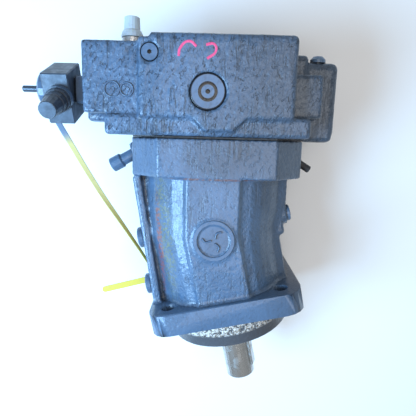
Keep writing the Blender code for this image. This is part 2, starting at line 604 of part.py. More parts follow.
def make_plugs():
    """Front plugs, stroking bore plugs, flank plugs and port screws."""
    big = plate_turned("front_plug", [
        (0, 0.0002), (0.0075, 0.0002), (0.0075, -0.0080), (0.0104, -0.0080), (0.0104, -0.0006), (0.0180, -0.0006),
        (0.0194, -0.0016), (0.0194, -0.0140), (0, -0.0140)], PAINT, BIG_PLUG, Matrix.Identity(4), steps=24)
    combine(big, [rod("big_centre", BIG_PLUG - Vector((0, 0, 0.008)), BIG_PLUG + Vector((0, 0, 0.01)), 0.0026,
                      None, PLATE_FRAME, sides=12)])
    small = plate_turned("small_plug", [
        (0, -0.0012), (0.0084, -0.0012), (0.0091, -0.0020), (0.0091, -0.0125), (0, -0.0125)], PAINT, SMALL_PLUG,
                         Matrix.Identity(4), steps=24)
    combine(small, [rod("small_centre", SMALL_PLUG - Vector((0, 0, 0.008)), SMALL_PLUG + Vector((0, 0, 0.01)),
                        0.0025, None, PLATE_FRAME, sides=6)])
    plate_turned("left_bore_plug", [(0, -0.1275), (STROKE_BIG_R - 0.0005, -0.1275), (STROKE_BIG_R - 0.0005, -0.1440),
                                    (0, -0.1440)], DARK_STEEL, Vector((0, STROKE_U, 0)), TO_X, steps=24)
    plate_turned("right_bore_plug", [(0, 0.1470), (STROKE_SMALL_R - 0.0005, 0.1470), (STROKE_SMALL_R - 0.0005, 0.1240),
                                     (0, 0.1240)], DARK_STEEL, Vector((0, STROKE_U, 0)), TO_X, steps=20)
    left_profile = [(0, 0.0150), (0.0125, 0.0150), (0.0135, 0.0140), (0.0135, 0.0084), (0.0098, 0.0084),
                    (0.0098, 0.0000), (0, 0.0000)]
    to_left = Matrix.Rotation(math.radians(-90), 4, "Y")
    for index, y in enumerate(LEFT_PLUG_YS):
        place = Matrix.Translation((LEFT_PLUG_XS[index], y, LEFT_PLUG_Z)) @ to_left
        turned(f"flank_plug_{index + 1}", left_profile, PAINT, None, place, steps=24)
    place = Matrix.Translation((0.0865, RIGHT_PLUG_Y, 0.026)) @ TO_X
    turned("flank_plug_3", [(0, 0.0160), (0.0095, 0.0160), (0.0105, 0.0150), (0.0105, 0.0113), (0.0079, 0.0113),
                            (0.0079, 0), (0, 0)], PAINT, None, place, steps=24)
    plate_turned("vent_screw", [(0, 0.0150), (0.0060, 0.0146), (0.0095, 0.0110), (0.0095, 0.0072),
                                (0.0052, 0.0072), (0.0052, 0.0), (0, 0.0)], STEEL,
                 VENT, TO_Y, steps=20)


def make_plate_screws():
    """The long screws that clamp the port plate on the collar."""
    number = 0
    for v in (-SCREW_V, SCREW_V):
        for z in (-SCREW_Z, SCREW_Z):
            number += 1
            screw = plate_turned(f"plate_screw_{number}", [
                (0, 0.2145), (0.0076, 0.2145), (0.0080, 0.2140), (0.0080, 0.2063), (SCREW_R, 0.2063),
                (SCREW_R, 0.0870), (0, 0.0870)], DARK_STEEL, Vector((v, 0, z)), TO_Y, steps=14)
            combine(screw, [rod("hexagon", (v, 0.2100, z), (v, 0.2200, z), 0.0045, None, PLATE_FRAME, sides=6)])


make_stroking_piston()
make_plugs()
make_plate_screws()

# Pressure control valve, on the left end of the port plate

VALVE_HALF = Vector((0.0155, 0.0295, 0.0240))
CAP_SPOT = Vector((0.0035, 0.0025, 0))
SPOOL_R = 0.0055
VALVE_FRAME = empty("valve_frame", VALVE_CENTRE)
VALVE_FRAME.parent = PLATE_FRAME
VALVE_FRAME.rotation_euler.x = VALVE_TILT
UPRIGHT = Matrix.Identity(4)


def valve_turned(name, profile, look, spot=CAP_SPOT, turn=UPRIGHT, steps=16):
    """A turned piece in the valve's frame; a profile that stays off the axis is a ring."""
    place = Matrix.Translation(spot) @ turn
    return turned(name, profile, look, VALVE_FRAME, place, ring=profile[0][0] > 0, steps=steps)


def make_valve():
    """Valve block with its spool, spring, spring housing, locknut and cap, and the stroke stop."""
    half = VALVE_HALF
    valve = block("valve_block", -half, half, SLATE, VALVE_FRAME, rounding=0.0012, steps=1)
    spool_end = CAP_SPOT + Vector((0, 0, -0.0205))
    combine(valve, [
        rod("spool_bore", spool_end, CAP_SPOT + Vector((0, 0, 0.030)), SPOOL_R + GAP, None, VALVE_FRAME, sides=16),
        rod("spring_bore", CAP_SPOT + Vector((0, 0, 0.010)), CAP_SPOT + Vector((0, 0, 0.030)), 0.0095, None,
            VALVE_FRAME, sides=20),
        rod("stop_bore", (-0.020, 0.002, -0.006), (-0.0110, 0.002, -0.006), 0.0130, None, VALVE_FRAME, sides=20),
    ])
    valve_turned("control_spool", [
        (0, 0.0120), (0.0040, 0.0120), (0.0040, 0.0095), (SPOOL_R, 0.0090), (SPOOL_R, 0.0020), (0.0032, 0.0010),
        (0.0032, -0.0060), (SPOOL_R, -0.0070), (SPOOL_R, -0.0150), (0, -0.0150)], STEEL, steps=16)
    face = half.z
    valve_turned("spring_housing", [
        (0.0085, face + 0.0180), (0.0105, face + 0.0180), (0.0105, face + 0.0076), (0.0150, face + 0.0076),
        (0.0150, face + GAP), (0.0092, face + GAP), (0.0092, 0.0112), (0.0085, 0.0112)], DARK_STEEL)
    valve_turned("valve_locknut", [
        (0.0108, face + 0.0140), (0.0132, face + 0.0140), (0.0140, face + 0.0132), (0.0140, face + 0.0087),
        (0.0132, face + 0.0079), (0.0108, face + 0.0079)], DARK_STEEL)
    valve_turned("valve_cap", [
        (0, face + 0.0420), (0.0092, face + 0.0420), (0.0099, face + 0.0413), (0.0118, face + 0.0240),
        (0.0125, face + 0.0235), (0.0125, face + 0.0143), (0.0108, face + 0.0143), (0.0108, face + 0.0190),
        (0.0062, face + 0.0190), (0.0062, face + 0.0390), (0, face + 0.0390)], DARK_STEEL)
    valve_turned("adjusting_screw", [
        (0, face + 0.0300), (0.0040, face + 0.0300), (0.0040, face + 0.0150), (0.0078, face + 0.0140),
        (0.0078, face + 0.0100), (0, face + 0.0100)], STEEL, steps=16)
    make_spring("spool_spring", CAP_SPOT + Vector((0, 0, 0.0125)), face + 0.0095 - 0.0125, 0.0062, 0.0009, 6,
                STEEL, VALVE_FRAME, Matrix.Rotation(math.radians(90), 3, "X"))
    to_left = Matrix.Rotation(math.radians(-90), 4, "Y")
    stop_spot = Vector((-half.x, 0.002, -0.006))
    valve_turned("stop_cover", [
        (0.0043, 0.0125), (0.0180, 0.0125), (0.0215, 0.0095), (0.0225, 0.0040), (0.0225, GAP), (0.0120, GAP),
        (0.0120, -0.0035), (0.0043, -0.0035)], PAINT, stop_spot, to_left, 18)
    valve_turned("stroke_stop_screw", [
        (0, 0.0365), (0.0030, 0.0365), (0.0039, 0.0356), (0.0039, -0.0030), (0, -0.0030)], DARK_STEEL, stop_spot,
                 to_left, 16)


def make_adapter():
    """The square spacer between the valve block and the port plate."""
    low = (LEFT_LOW[0] - 0.0194, 0.1510, 0.010)
    high = (LEFT_LOW[0] - GAP, 0.1820, 0.052)
    block("valve_adapter", low, high, PAINT, PLATE_FRAME, rounding=0.002, steps=1)


def make_fittings():
    """The capped port fitting on the port plate, and the two stubs on the collar."""
    plate_turned("port_fitting", [
        (0, 0.0180), (0.0068, 0.0180), (0.0068, 0.0085), (0.0115, 0.0080), (0.0115, 0.0003), (0.0072, 0.0003),
        (0.0072, -0.0120), (0, -0.0120)], STEEL, FITTING, TO_Y, steps=20)
    plate_turned("transport_cap", [
        (0, 0.0305), (0.0082, 0.0305), (0.0088, 0.0298), (0.0092, 0.0170), (0.0110, 0.0150), (0.0122, 0.0120),
        (0.0122, 0.0088), (0.0075, 0.0088), (0.0075, 0.0190), (0, 0.0190)], WHITE_PLASTIC, FITTING, TO_Y, steps=18)
    for name, (start, aim), profile, look in (
            ("left_stub", STUB_LEFT, [(0, 0.0460), (0.0085, 0.0460), (0.0092, 0.0452), (0.0092, 0.0320),
                                      (0.0074, 0.0300), (0.0074, 0.0030), (0, 0.0030)], STEEL),
            ("right_stub", STUB_RIGHT, [(0, 0.0320), (0.0040, 0.0320), (0.0044, 0.0315), (0.0044, 0.0040),
                                        (0, 0.0040)], BLACK_RUBBER)):
        turn = aim.to_track_quat("Z", "Y").to_matrix().to_4x4()
        plate_turned(name, profile, look, start, turn, steps=20)


def make_gasket():
    """The flat gasket between collar and port plate."""
    inset = 0.001
    low = (COLLAR_LOW.x + inset, PLATE_START - GASKET + GAP, COLLAR_LOW.z + inset)
    high = (COLLAR_HIGH.x - inset, PLATE_START - GAP, COLLAR_HIGH.z - inset)
    gasket = block("plate_gasket", low, high, BLACK_RUBBER, PLATE_FRAME, rounding=COLLAR_CHAMFER, along="Y",
                   steps=1)
    cuts = [swing_space()]
    for v in (-SCREW_V, SCREW_V):
        for z in (-SCREW_Z, SCREW_Z):
            cuts.append(rod("gasket_hole", (v, 0.10, z), (v, 0.13, z), SCREW_R + 0.0008, None, PLATE_FRAME,
                            sides=12))
    return combine(gasket, cuts)


STRAP_WIDTH = 0.0068
STRAP_THICK = 0.0014
STRAP_ROUTE = (
    (Vector((-0.1580, 0.2742, 0.0424)), 80),
    (Vector((-0.1562, 0.2610, 0.0360)), 78),
    (Vector((-0.1345, 0.1830, 0.0260)), 62),
    (Vector((-0.1120, 0.1180, 0.0170)), 30),
    (Vector((-0.0966, 0.0700, 0.0100)), 10),
    (Vector((-0.0930, 0.0545, 0.0080)), 0),
)
TAG_START = Vector((-0.0962, 0.0475, 0.0105))
TAG_LENGTH = 0.072
TAG_HALF = 0.0042
TAG_TURN = math.radians(183)


def make_strap():
    """The flat plastic tie strung from the valve block to the left flank, and the tag on its end."""
    curve = bpy.data.curves.new("tie_strap", "CURVE")
    curve.dimensions = "3D"
    curve.twist_mode = "Z_UP"
    curve.extrude = (STRAP_WIDTH - STRAP_THICK) / 2
    curve.bevel_depth = STRAP_THICK / 2
    curve.bevel_resolution = 0
    curve.use_fill_caps = True
    curve.resolution_u = 6
    spline = curve.splines.new("BEZIER")
    spline.bezier_points.add(len(STRAP_ROUTE) - 1)
    for point, (spot, tilt) in zip(spline.bezier_points, STRAP_ROUTE):
        point.co = spot
        point.handle_left_type = point.handle_right_type = "AUTO"
        point.tilt = math.radians(tilt)
    curve.materials.append(YELLOW_PLASTIC)
    PUMP.objects.link(bpy.data.objects.new("tie_strap", curve))
    place = Matrix.Translation(TAG_START) @ Matrix.Rotation(TAG_TURN, 4, "Z")
    block("strap_tag", (0, -TAG_HALF, -STRAP_THICK / 2), (TAG_LENGTH, TAG_HALF, STRAP_THICK / 2),
          YELLOW_PLASTIC, None, place, rounding=TAG_HALF * 0.9, along="Z", steps=3)


make_valve()
make_adapter()
make_fittings()
make_gasket()
make_strap()
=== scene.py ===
"""Looks of the bent-axis piston pump: cast skins, small details, materials, floor, light and camera."""

import math

import bmesh
import bpy
from mathutils import Euler, Matrix, Vector, noise
from mathutils.bvhtree import BVHTree


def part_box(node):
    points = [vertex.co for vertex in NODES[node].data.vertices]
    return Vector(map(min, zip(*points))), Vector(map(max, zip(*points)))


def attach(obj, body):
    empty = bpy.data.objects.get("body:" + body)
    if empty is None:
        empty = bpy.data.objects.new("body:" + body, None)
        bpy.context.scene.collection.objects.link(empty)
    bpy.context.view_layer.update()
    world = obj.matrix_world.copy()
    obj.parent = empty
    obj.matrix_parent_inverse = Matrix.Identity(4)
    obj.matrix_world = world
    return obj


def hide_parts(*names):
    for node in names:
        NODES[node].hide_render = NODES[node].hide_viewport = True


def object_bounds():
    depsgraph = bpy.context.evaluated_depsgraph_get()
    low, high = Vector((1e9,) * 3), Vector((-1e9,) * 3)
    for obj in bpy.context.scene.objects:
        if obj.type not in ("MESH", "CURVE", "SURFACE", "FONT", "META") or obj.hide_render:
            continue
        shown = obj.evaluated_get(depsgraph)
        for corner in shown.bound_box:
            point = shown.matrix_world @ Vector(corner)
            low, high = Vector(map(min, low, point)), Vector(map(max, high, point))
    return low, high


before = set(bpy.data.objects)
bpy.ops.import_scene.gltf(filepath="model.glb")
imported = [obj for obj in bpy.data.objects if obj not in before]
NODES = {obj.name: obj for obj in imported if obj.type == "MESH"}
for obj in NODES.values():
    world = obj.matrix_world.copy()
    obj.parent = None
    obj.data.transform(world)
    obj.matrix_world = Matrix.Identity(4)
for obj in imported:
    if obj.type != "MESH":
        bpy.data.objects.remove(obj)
CAD_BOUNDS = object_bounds()
BODY = "pump_body"

# The port plate's own frame: across, out from the pivot, up
BEND = math.radians(12.5)
PIVOT = Vector((0, 0.108, 0))
PLATE = Matrix.Translation(PIVOT) @ Matrix.Rotation(-BEND, 4, "Z")
FLANGE_BACK = 0.026
FLOOR_Z = CAD_BOUNDS[0][2]

# Castings: remesh grid, how far a bore's wall is drawn outside the CAD's, and how far the cast waves rise
VOXEL = 0.0018
BORE_RELIEF = 0.0004
HOUSING_WAVES = 0.00022
PLATE_WAVES = 0.00030

# The big plug's middle and the cast rings in the port plate's frame: across, out; rings also have a radius
PLUG_SPOT = (-0.0085, 0.163)
CAST_RINGS = ((-0.1130, 0.1640, 0.0082), (-0.0968, 0.1640, 0.0070))
LEFT_BLOCK_DROP = 0.0091

# The emblem: its middle on the front panel, and its profile as (radius, height) from the recess's floor
EMBLEM_SPOT = (0.0018, 0.1035, 0.0836)
EMBLEM = [
    (0, 0.0006), (0.0172, 0.0006), (0.0180, -0.0002), (0.0189, -0.0002),
    (0.0194, 0.0024), (0.0202, 0.0030), (0.0238, 0.0030), (0.0246, 0.0024),
    (0.0252, 0.0004), (0.0262, 0.0004), (0.0268, -0.0040), (0, -0.0040),
]

# Marker strokes on the port plate's front: width, height, and each stroke's points
MARKER_WIDTH = 0.0028
MARKER_HEIGHT = 0.0003
MARKER_STROKES = (
    [(-0.0400, 0.1980), (-0.0385, 0.2060), (-0.0290, 0.2130), (-0.0215, 0.2080)],
    [(-0.0115, 0.2100), (-0.0030, 0.2105), (-0.0010, 0.2040), (-0.0100, 0.1960)],
)

# Colours
PAINT_DEEP = (0.066, 0.122, 0.208)
PAINT_PALE = (0.082, 0.148, 0.250)
# Painted shade: the colour laid in the paint's pits
PIT_SHADE = (0.022, 0.034, 0.055)
PAINT_RUN = (0.042, 0.058, 0.082)
# Painted shade: each casting's paint darkened towards its right side, away from the key light
PLATE_RIGHT_SHADE = (0.044, 0.062, 0.090)
HOUSING_RIGHT_SHADE = (0.044, 0.060, 0.084)
FLANGE_RIGHT_SHADE = (0.048, 0.062, 0.084)
BARE_PILOT = (0.058, 0.066, 0.080)
RUBBED = (0.120, 0.130, 0.150)
# Painted shade: the dark patch and streaks on the housing's right side
PANEL_SHADE = (0.030, 0.045, 0.068)
GREEN_STAIN = (0.165, 0.180, 0.080)
RED_STAIN = (0.300, 0.070, 0.055)
RESIDUE_BROWN = (0.30, 0.26, 0.21)
RESIDUE_WHITE = (0.72, 0.73, 0.72)
# Partly dirt, partly painted shade: laid in corners and crevices found by ambient occlusion
GRIME_AND_SHADE = (0.026, 0.026, 0.030)
# Painted shade: the near-black in the big plug's recess and round its edge
PLUG_SHADE = (0.007, 0.007, 0.009)
RUST = (0.20, 0.075, 0.035)


def make_camera():
    """The camera looks down on the pump, which lies on its back."""
    data = bpy.data.cameras.new("camera")
    data.lens = 33.57
    data.sensor_width = 36
    data.clip_start = 0.01
    camera = bpy.data.objects.new("camera", data)
    camera.location = (0.0232, 0.2209, 0.5231)
    camera.rotation_euler = Euler((-0.18059, 0.01222, -0.1916), "XYZ")
    bpy.context.collection.objects.link(camera)
    bpy.context.scene.camera = camera


# Materials: each is a small node tree, built by these helpers

class Look:
    """A Principled material whose nodes are added one at a time."""

    def __init__(self, name, roughness=0.5, metallic=0.0, coat=0.0):
        self.material = bpy.data.materials.new(name)
        self.material.use_nodes = True
        self.tree = self.material.node_tree
        self.shader = self.tree.nodes["Principled BSDF"]
        self.shader.inputs["Roughness"].default_value = roughness
        self.shader.inputs["Metallic"].default_value = metallic
        self.shader.inputs["Coat Weight"].default_value = coat
        self.place = self.add("ShaderNodeTexCoord").outputs["Object"]

    def add(self, kind, **values):
        """Add a node; a value may be a number, a vector, or another node's output."""
        made = self.tree.nodes.new(kind)
        for key, value in values.items():
            if not key[0].isupper():
                setattr(made, key, value)
        for key, value in values.items():
            if key[0].isupper():
                socket = made.inputs[key.replace("_", " ")]
                self.put(value, socket)
        return made

    def put(self, value, socket):
        """Set a socket to a value or link it to an output."""
        if isinstance(value, bpy.types.NodeSocket):
            self.tree.links.new(value, socket)
        elif isinstance(value, tuple) and len(value) == 3 and socket.type == "RGBA":
            socket.default_value = (*value, 1)
        else:
            socket.default_value = value

    def turned_place(self, angle=0.0, scale=(1, 1, 1), at=(0, 0, 0)):
        """Object coordinates about a point, turned about Z and then scaled."""
        moved = self.add("ShaderNodeVectorMath", operation="SUBTRACT", Vector=self.place)
        moved.inputs[1].default_value = at
        turned = self.add("ShaderNodeVectorRotate", rotation_type="Z_AXIS", Vector=moved.outputs[0],
                          Angle=angle)
        sized = self.add("ShaderNodeVectorMath", operation="MULTIPLY", Vector=turned.outputs[0])
        sized.inputs[1].default_value = scale
        return sized.outputs[0]

    def noise(self, size, detail=3.0, rough=0.5, place=None):
        """Noise whose lumps are about the given size in metres."""
        made = self.add("ShaderNodeTexNoise", Vector=place or self.place, Scale=1 / size, Detail=detail,
                        Roughness=rough)
        return made.outputs["Fac"]

    def ramp(self, value, low, high, start=0.0, end=1.0):
        """Map a value between two limits, smoothly and clamped."""
        made = self.add("ShaderNodeMapRange", interpolation_type="SMOOTHSTEP", Value=value, From_Min=low,
                        From_Max=high, To_Min=start, To_Max=end)
        return made.outputs["Result"]

    def calc(self, operation, a, b):
        """Work on two numbers."""
        made = self.add("ShaderNodeMath", operation=operation)
        self.put(a, made.inputs[0])
        self.put(b, made.inputs[1])
        return made.outputs[0]

    def mix(self, share, a, b, blend="MIX"):
        """Mix two colours."""
        made = self.add("ShaderNodeMix", data_type="RGBA", blend_type=blend)
        self.put(share, made.inputs[0])
        self.put(a, made.inputs[6])
        self.put(b, made.inputs[7])
        return made.outputs[2]

    def lay(self, colour, added, mask, share):
        """Lay a colour over another where a mask is, at a share of its strength."""
        return self.mix(self.calc("MULTIPLY", mask, share), colour, added)

    def spot(self, at, half, angle=0.0, soft=0.5):
        """A soft mask that is 1 inside a turned ellipsoid and fades out round it."""
        place = self.turned_place(angle, tuple(1 / h for h in half), at)
        far = self.add("ShaderNodeVectorMath", operation="LENGTH", Vector=place).outputs["Value"]
        return self.ramp(far, 1 + soft, 1 - soft)

    def part_of(self, axis, low, high, angle=0.0):
        """A mask along one axis of the place, from 0 at low to 1 at high."""
        place = self.turned_place(angle)
        parts = self.add("ShaderNodeSeparateXYZ", Vector=place)
        return self.ramp(parts.outputs[axis], low, high)

    def annulus(self, at, inner, outer, soft=0.0004):
        """A mask that is 1 between two radii about an upright axis."""
        place = self.turned_place(0.0, (1, 1, 0), at)
        far = self.add("ShaderNodeVectorMath", operation="LENGTH", Vector=place).outputs["Value"]
        return self.calc("MULTIPLY", self.ramp(far, inner - soft, inner + soft),
                         self.ramp(far, outer + soft, outer - soft))

    def grime_and_shade(self, distance=0.011):
        """1 in corners and crevices, 0 on open faces; the darkening laid with it is partly dirt and partly
        painted shade.
        """
        seen = self.add("ShaderNodeAmbientOcclusion", Distance=distance, samples=6).outputs["AO"]
        return self.ramp(seen, 0.90, 0.35)

    def colour(self, value):
        """Link the base colour."""
        self.put(value, self.shader.inputs["Base Color"])

    def gloss(self, value):
        """Link the roughness."""
        self.put(value, self.shader.inputs["Roughness"])

    def bump(self, *layers):
        """Stack bump layers of (height, distance in metres)."""
        normal = None
        for height, distance in layers:
            made = self.add("ShaderNodeBump", Height=height, Distance=distance)
            if normal is not None:
                self.put(normal, made.inputs["Normal"])
            normal = made.outputs["Normal"]
        self.put(normal, self.shader.inputs["Normal"])
        return self


def paint_base(look, angle, streaks, pit_shade_share=0.25):
    """Blue-grey enamel colour: cloudy, darkened in corners with dirt and painted shade, pits darkened with
    painted shade, with runs down the casting.
    """
    cloud = look.ramp(look.noise(0.035, 4), 0.35, 0.68)
    slanted = look.turned_place(angle + 0.6, (1, 0.50, 1))
    pits = look.ramp(look.noise(0.0036, 2, 0.5, slanted), 0.56, 0.68)
    runs = look.noise(0.0042, 4, 0.6, look.turned_place(angle, (1, 0.10, 1)))
    run_and_shade_patch = look.ramp(look.noise(0.045, 2), 0.42, 0.58)
    runs = look.calc("MULTIPLY", look.ramp(runs, 0.48, 0.62), run_and_shade_patch)
    colour = look.mix(cloud, PAINT_DEEP, PAINT_PALE)
    # Painted shade: the pits darkened in colour as well as bumped
    colour = look.lay(colour, PIT_SHADE, pits, pit_shade_share)
    colour = look.lay(colour, PAINT_RUN, runs, streaks)
    # Dirt and painted shade: corners and crevices darkened
    colour = look.lay(colour, GRIME_AND_SHADE, look.grime_and_shade(), 0.85)
    return colour, pits, runs


def plate_paint():
    """Enamel on the port plate: coarse pitted skin, runs and rubbed patches, and painted shade that darkens
    it to the right.
    """
    look = Look("plate_paint", coat=0.30)
    colour, pits, runs = paint_base(look, BEND, 0.60, 0.55)
    # Painted shade: darker towards the right
    colour = look.lay(colour, PLATE_RIGHT_SHADE, look.part_of(0, -0.08, 0.05, BEND), 0.80)
    colour = look.lay(colour, RUBBED, look.ramp(look.noise(0.012, 5), 0.60, 0.75), 0.35)
    look.colour(colour)
    look.gloss(look.ramp(pits, 0.0, 1.0, 0.36, 0.50))
    grain = look.noise(0.0046, 3, 0.5, look.turned_place(BEND + 0.5, (1, 0.60, 1)))
    return look.bump((look.calc("ADD", pits, runs), -0.0007), (grain, 0.0024),
                     (look.noise(0.0012, 2), 0.00012)).material


def housing_paint():
    """Enamel on the housing: finer skin, rust at the collar's foot, stains in the left valley, and painted
    shade towards the right and in a patch on its right side.
    """
    look = Look("housing_paint", coat=0.35)
    colour, pits, runs = paint_base(look, BEND, 0.45)
    # Painted shade: darker towards the right
    colour = look.lay(colour, HOUSING_RIGHT_SHADE, look.part_of(0, 0.02, 0.09), 0.60)
    # Painted shade: a dark patch and streaks on the housing's right side
    shaded_runs = look.calc("MULTIPLY", look.spot((0.030, 0.205, 0.085), (0.035, 0.050, 0.020), BEND, 0.4), runs)
    shade_patch = look.spot((0.034, 0.200, 0.085), (0.040, 0.030, 0.020), BEND)
    run_and_shade_patch = look.calc("ADD", look.calc("MULTIPLY", shaded_runs, 0.3), look.calc("MULTIPLY", shade_patch, 0.5))
    colour = look.mix(run_and_shade_patch, colour, PANEL_SHADE)
    patchy = look.ramp(look.noise(0.0035, 5, 0.7), 0.42, 0.60)
    green = look.calc("MULTIPLY", look.spot((-0.0560, 0.115, 0.066), (0.010, 0.075, 0.030), 0.10), patchy)
    red = look.calc("MULTIPLY", look.spot((-0.0665, 0.100, 0.060), (0.0035, 0.060, 0.030), 0.15), patchy)
    colour = look.lay(colour, GREEN_STAIN, green, 0.75)
    colour = look.lay(colour, RED_STAIN, red, 0.85)
    foot = look.spot((0.0146, 0.1738, 0.085), (0.090, 0.0012, 0.020), BEND, 0.4)
    rust = look.calc("MULTIPLY", foot, look.ramp(look.noise(0.006, 4), 0.36, 0.55))
    colour = look.lay(colour, RUST, rust, 0.6)
    look.colour(colour)
    look.gloss(look.ramp(pits, 0.0, 1.0, 0.32, 0.46))
    grain = look.noise(0.0036, 3, 0.5)
    return look.bump((look.calc("ADD", pits, runs), -0.0003), (grain, 0.0010),
                     (look.noise(0.0012, 2), 0.00010)).material


def flange_paint():
    """Enamel on the flange; the pilot is barer, with flaking white residue beside the flange."""
    look = Look("flange_paint", coat=0.25)
    colour, pits, _ = paint_base(look, 0.0, 0.15)
    across, along, _ = look.add("ShaderNodeSeparateXYZ", Vector=look.place).outputs
    # Painted shade: the flange darker towards the right
    colour = look.mix(look.ramp(across, 0.0, 0.09, 0.0, 0.45), colour, FLANGE_RIGHT_SHADE)
    colour = look.mix(look.ramp(along, -0.0006, -0.0014), colour, BARE_PILOT)
    band = look.calc("MULTIPLY", look.ramp(along, -0.0215, -0.0185), look.ramp(along, -0.0004, -0.0016))
    flakes = look.calc("MULTIPLY", band, look.ramp(look.noise(0.0040, 6, 0.75), 0.40, 0.52))
    residue = look.mix(look.ramp(look.noise(0.0016, 3), 0.4, 0.6), RESIDUE_BROWN, RESIDUE_WHITE)
    look.colour(look.mix(flakes, colour, residue))
    look.gloss(look.ramp(pits, 0.0, 1.0, 0.38, 0.50))
    grain = look.noise(0.0036, 3, 0.5)
    return look.bump((flakes, 0.0006), (grain, 0.0007), (look.noise(0.0012, 2), 0.0001)).material


def small_paint():
    """Enamel on plugs, small covers and fittings."""
    look = Look("small_paint", coat=0.30)
    colour, pits, _ = paint_base(look, BEND, 0.2)
    look.colour(colour)
    look.gloss(look.ramp(pits, 0.0, 1.0, 0.34, 0.46))
    return look.bump((look.noise(0.0030, 3), 0.0004), (look.noise(0.0010, 2), 0.0001)).material


def plug_paint():
    """The big front plug: paint on its rim, near-black painted shade in its recess and round its edge,
    glossier there.
    """
    look = Look("plug_paint", coat=0.30)
    colour, _, _ = paint_base(look, BEND, 0.2)
    middle = PLATE @ Vector((*PLUG_SPOT, 0))
    recess = look.annulus(middle, 0.0070, 0.0106)
    edge = look.annulus(middle, 0.0176, 0.0300)
    plug_shade = look.calc("MAXIMUM", recess, edge)
    # Painted shade: recess and edge laid near-black
    look.colour(look.lay(colour, PLUG_SHADE, plug_shade, 0.93))
    look.gloss(look.ramp(plug_shade, 0.0, 1.0, 0.36, 0.24))
    return look.bump((look.noise(0.0030, 3), 0.0004)).material


def steel(name, colour, dark, roughness, metallic=1.0, axis=(1, 1, 12)):
    """Machined steel: turning marks, smudges, and darkening in its hollows that is partly dirt and partly
    painted shade.
    """
    look = Look(name, metallic=metallic)
    smudge = look.ramp(look.noise(0.014, 5, 0.65), 0.45, 0.70)
    lines = look.noise(0.0030, 2, 0.5, look.turned_place(0.0, axis))
    shade = look.lay(colour, dark, smudge, 0.55)
    # Hollows darkened: partly dirt, partly painted shade
    look.colour(look.lay(shade, GRIME_AND_SHADE, look.grime_and_shade(0.004), 0.7))
    look.gloss(look.ramp(smudge, 0.0, 1.0, roughness, roughness + 0.22))
    return look.bump((lines, 0.00008), (look.noise(0.0012, 3), 0.00006)).material


def slate():
    """The valve block's dark painted steel, rubbed paler in patches."""
    look = Look("valve_slate", metallic=0.20)
    rub = look.ramp(look.noise(0.010, 5, 0.6), 0.35, 0.70)
    colour = look.mix(rub, (0.050, 0.072, 0.105), (0.072, 0.102, 0.145))
    # Hollows darkened: partly dirt, partly painted shade
    look.colour(look.lay(colour, GRIME_AND_SHADE, look.grime_and_shade(0.004), 0.6))
    look.gloss(look.ramp(rub, 0.0, 1.0, 0.48, 0.34))
    return look.bump((look.noise(0.0016, 3), 0.00012)).material


def rubber():
    """Dull black rubber."""
    look = Look("rubber", roughness=0.62)
    dust = look.ramp(look.noise(0.005, 4), 0.4, 0.7)
    look.colour(look.mix(dust, (0.012, 0.012, 0.014), (0.035, 0.035, 0.038)))
    return look.bump((look.noise(0.0009, 3), 0.00015)).material


def bronze():
    """Machined bronze."""
    look = Look("bronze", metallic=1.0)
    tone = look.ramp(look.noise(0.010, 4), 0.35, 0.70)
    look.colour(look.mix(tone, (0.52, 0.31, 0.12), (0.72, 0.48, 0.22)))
    look.gloss(look.ramp(tone, 0.0, 1.0, 0.40, 0.28))
    return look.bump((look.noise(0.0015, 2), 0.00008)).material


def white_plastic():
    """The transport cap's milky plastic, darker in a band round its middle, with a little dirt, and its
    hollows darkened partly by dirt and partly by painted shade.
    """
    look = Look("milky_plastic", roughness=0.32)
    look.shader.inputs["Subsurface Weight"].default_value = 0.25
    look.shader.inputs["Subsurface Radius"].default_value = (0.002, 0.002, 0.003)
    dirt = look.ramp(look.noise(0.006, 5, 0.6), 0.52, 0.72)
    band_start = look.part_of(1, 0.2905, 0.2925, BEND)
    band_end = look.part_of(1, 0.2990, 0.2970, BEND)
    colour = look.lay((0.42, 0.50, 0.56), (0.26, 0.30, 0.35), dirt, 0.5)
    colour = look.lay(colour, (0.19, 0.25, 0.33), look.calc("MULTIPLY", band_start, band_end), 0.7)
    # Hollows darkened: partly dirt, partly painted shade
    look.colour(look.lay(colour, GRIME_AND_SHADE, look.grime_and_shade(0.003), 0.5))
    return look.bump((look.noise(0.004, 2), 0.0002)).material


def strap_plastic():
    """The tie's yellow plastic, fading to grey at its upper end, scuffed."""
    look = Look("strap_plastic", roughness=0.42)
    _, along, _ = look.add("ShaderNodeSeparateXYZ", Vector=look.place).outputs
    upper = look.ramp(along, 0.245, 0.262)
    pale = look.ramp(along, 0.060, 0.200)
    yellow = look.mix(pale, (0.62, 0.50, 0.055), (0.66, 0.62, 0.26))
    colour = look.mix(upper, yellow, (0.16, 0.24, 0.36))
    scuff = look.ramp(look.noise(0.0022, 4, 0.7), 0.60, 0.72)
    look.colour(look.lay(colour, (0.14, 0.12, 0.07), scuff, 0.55))
    return look.bump((look.noise(0.0020, 2), 0.00015)).material


def pink_marker():
    """Paint-marker pink."""
    look = Look("pink_marker", roughness=0.45)
    wear = look.ramp(look.noise(0.0016, 4, 0.7), 0.35, 0.60)
    look.colour(look.mix(wear, (0.62, 0.06, 0.16), (0.80, 0.09, 0.24)))
    return look.bump((look.noise(0.0010, 3), 0.0002)).material


def dress(look, *names):
    """Give CAD nodes a material."""
    for name in names:
        for slot in NODES[name].material_slots:
            slot.material = look


# Pieces

def ride(piece, slot, *replaced):
    """Tie a new piece to the pump's body."""
    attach(piece, BODY)
    if replaced:
        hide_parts(*replaced)
    return piece


